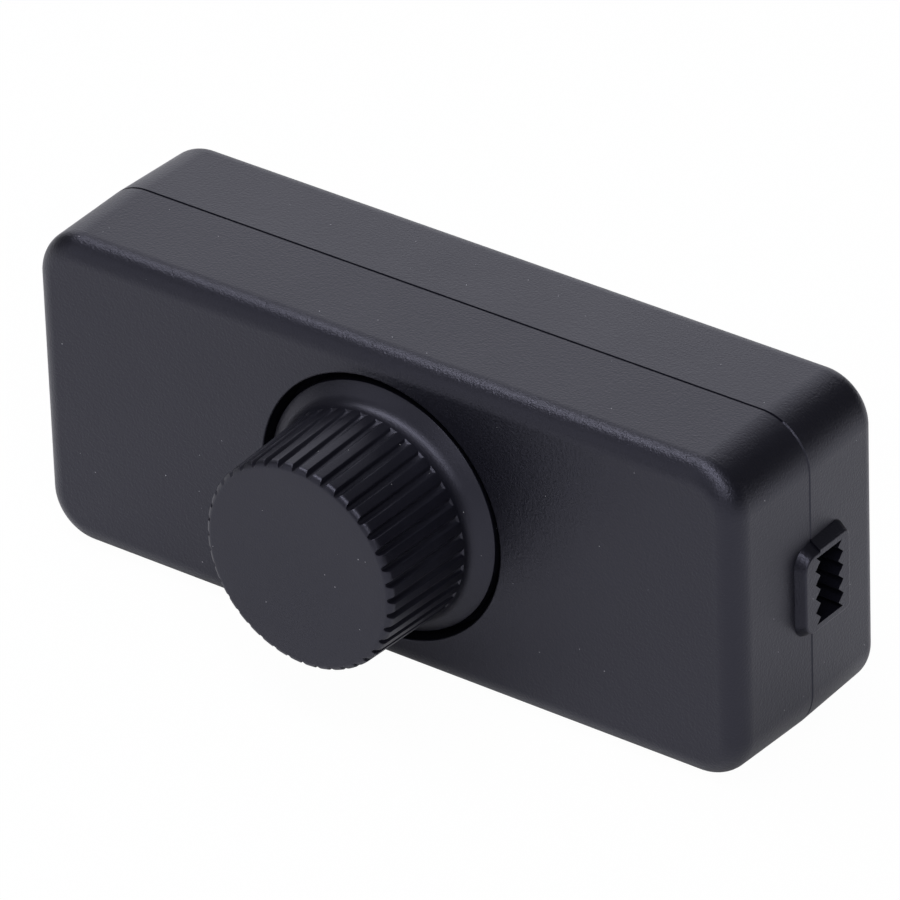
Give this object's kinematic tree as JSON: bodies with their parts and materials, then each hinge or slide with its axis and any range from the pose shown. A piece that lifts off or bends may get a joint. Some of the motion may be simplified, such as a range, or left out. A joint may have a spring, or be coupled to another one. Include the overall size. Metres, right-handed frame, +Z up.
{
  "type": "rotary cord dimmer",
  "caption": "In-line lamp dimmer: a two-part rectangular plastic case with toothed flat-cord entries at both ends and a fluted skirted knob that turns a switched potentiometer.",
  "frame": {"origin": "on the surface that the dimmer stands on, under the middle of its overall box", "axes": "+Z up with the case standing on its long narrow side, +X along the case from one cord entry to the other, -Y out of the front along the knob's axis"},
  "size_m": [0.0924, 0.0386, 0.0376],
  "materials": {
    "case_plastic": "fine spark-eroded texture",
    "knob_plastic": "fine matt",
    "zinc_steel": "zinc plated",
    "die_cast": "die cast",
    "shaft_aluminium": "turned",
    "board_laminate": "phenolic paper laminate",
    "wafer_laminate": "phenolic paper laminate",
    "rotor_plastic": "moulded",
    "spring_bronze": "spring strip",
    "tinned_copper": "tinned",
    "switch_plastic": "moulded",
    "epoxy": "moulded epoxy",
    "ferrite": "fired ferrite",
    "enamelled_copper": "enamelled wire",
    "capacitor_yellow": "moulded box",
    "capacitor_brown": "dipped film",
    "fuse_brown": "moulded",
    "diode_blue": "coated glass",
    "resistor_beige": "lacquered",
    "terminal_green": "moulded",
    "terminal_steel": "zinc plated"
  },
  "bodies": {
    "case": {"front_cover": "case_plastic", "rear_cover": "case_plastic", "case_screws": "zinc_steel", "pot_nut": "zinc_steel", "pot_housing": "zinc_steel", "pot_bushing": "die_cast", "circuit_board": "board_laminate", "pot_wafer": "wafer_laminate", "pot_terminals": "tinned_copper", "switch_terminals": "tinned_copper", "triac_leads": "tinned_copper", "triac_tab": "tinned_copper", "choke_leads": "tinned_copper", "suppression_capacitor_leads": "tinned_copper", "timing_capacitor_leads": "tinned_copper", "fuse_leads": "tinned_copper", "trigger_diode_leads": "tinned_copper", "resistor_leads": "tinned_copper", "terminal_pins": "tinned_copper", "terminal_cages": "tinned_copper", "switch_housing": "switch_plastic", "triac_body": "epoxy", "choke_core": "ferrite", "choke_winding": "enamelled_copper", "suppression_capacitor": "capacitor_yellow", "timing_capacitor": "capacitor_brown", "fuse": "fuse_brown", "trigger_diode": "diode_blue", "resistors": "resistor_beige", "left_terminal_block": "terminal_green", "right_terminal_block": "terminal_green", "terminal_screws": "terminal_steel"},
    "knob": {"knob": "knob_plastic", "pot_shaft": "shaft_aluminium", "pot_rotor": "rotor_plastic", "pot_wiper": "spring_bronze"}
  },
  "joints": [
    {"name": "knob_turn", "type": "hinge", "parent": "case", "child": "knob", "pos_m": [0, 0, 0.0188], "axis": [0, 1, 0], "range_deg": [0, 300]}
  ]
}
